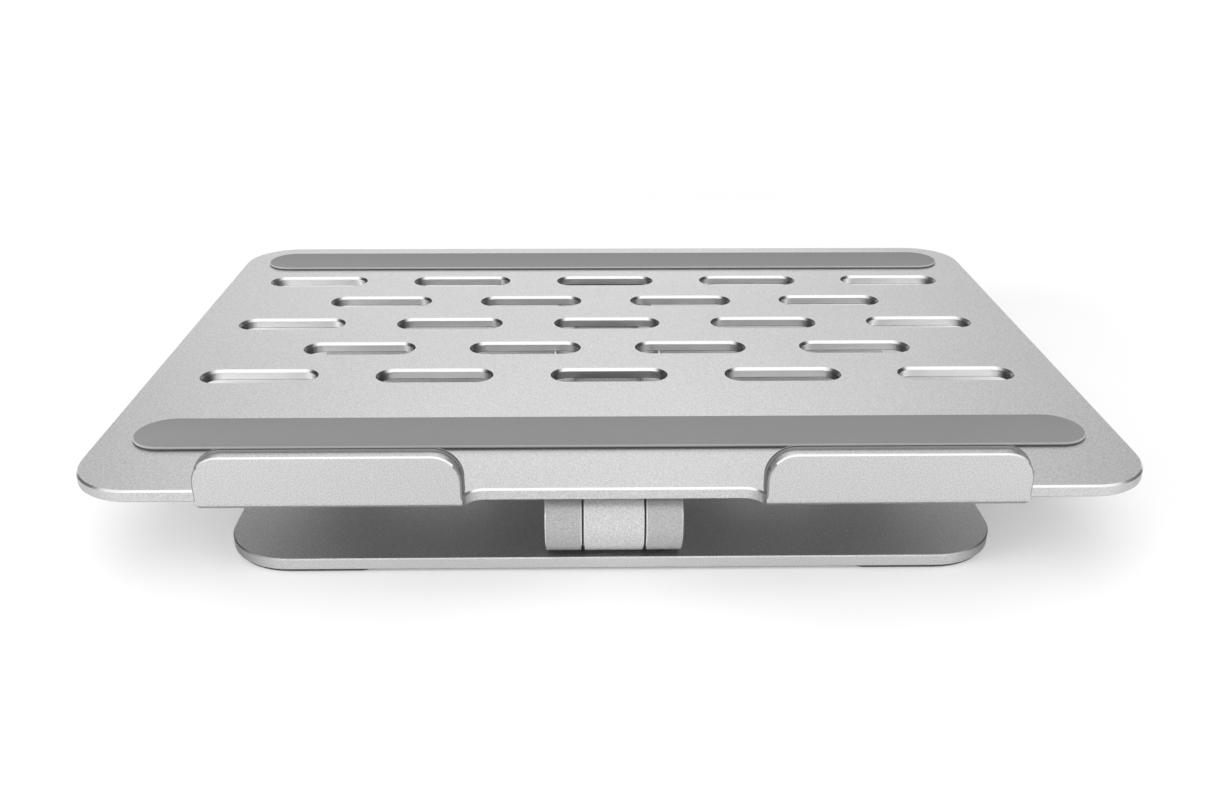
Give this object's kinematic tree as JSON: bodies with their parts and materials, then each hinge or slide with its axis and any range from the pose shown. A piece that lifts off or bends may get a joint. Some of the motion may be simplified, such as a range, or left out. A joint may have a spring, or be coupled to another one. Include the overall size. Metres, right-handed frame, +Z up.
{
  "type": "laptop cooling stand",
  "caption": "Folding aluminium laptop stand with a slotted cooling tray, front lips and rubber strips, on a hinged arm and a flat base, stored folded flat.",
  "frame": {"origin": "under the middle of the folded stand, on the surface that its feet rest on", "axes": "+X to the right along the stand's width, +Y to the rear away from the lips, +Z up"},
  "size_m": [0.28, 0.2084, 0.0391],
  "materials": {
    "sandblasted_aluminium": "fine sandblasted and anodised silver, with bright cut bevels",
    "grey_rubber": "matt grey silicone rubber",
    "dark_rubber": "matt dark rubber",
    "bright_steel": "turned and ground steel",
    "bronze": "plain bronze bearing",
    "washer_plastic": "low-friction filled plastic",
    "cap_plastic": "fine-grained moulded plastic"
  },
  "bodies": {
    "base": {"base_plate": "sandblasted_aluminium", "base_foot_front_left": "dark_rubber", "base_foot_front_right": "dark_rubber", "base_foot_rear_left": "dark_rubber", "base_foot_rear_right": "dark_rubber", "lower_hinge_bracket": "sandblasted_aluminium", "lower_bracket_screws": "bright_steel", "lower_hinge_bush": "bronze"},
    "arm": {"support_arm": "sandblasted_aluminium", "lower_disc_springs": "bright_steel", "lower_friction_washer_left": "washer_plastic", "lower_friction_washer_right": "washer_plastic", "lower_hinge_cap_left": "cap_plastic", "lower_hinge_cap_right": "cap_plastic", "lower_hinge_pin": "bright_steel", "lower_pin_nut": "bright_steel", "upper_disc_springs": "bright_steel", "upper_friction_washer_left": "washer_plastic", "upper_friction_washer_right": "washer_plastic", "upper_hinge_cap_left": "cap_plastic", "upper_hinge_cap_right": "cap_plastic", "upper_hinge_pin": "bright_steel", "upper_pin_nut": "bright_steel"},
    "tray": {"top_plate": "sandblasted_aluminium", "front_rubber_strip": "grey_rubber", "rear_rubber_strip": "grey_rubber", "left_lip_pad": "grey_rubber", "right_lip_pad": "grey_rubber", "upper_hinge_bracket": "sandblasted_aluminium", "upper_bracket_screws": "bright_steel", "upper_hinge_bush": "bronze"}
  },
  "joints": [
    {"name": "arm_hinge", "type": "hinge", "parent": "base", "child": "arm", "pos_m": [0, -0.08975, 0.0139], "axis": [1, 0, 0], "range_deg": [0, 68]},
    {"name": "tray_hinge", "type": "hinge", "parent": "arm", "child": "tray", "pos_m": [0, 0.08585, 0.0139], "axis": [-1, 0, 0], "range_deg": [0, 68]}
  ]
}
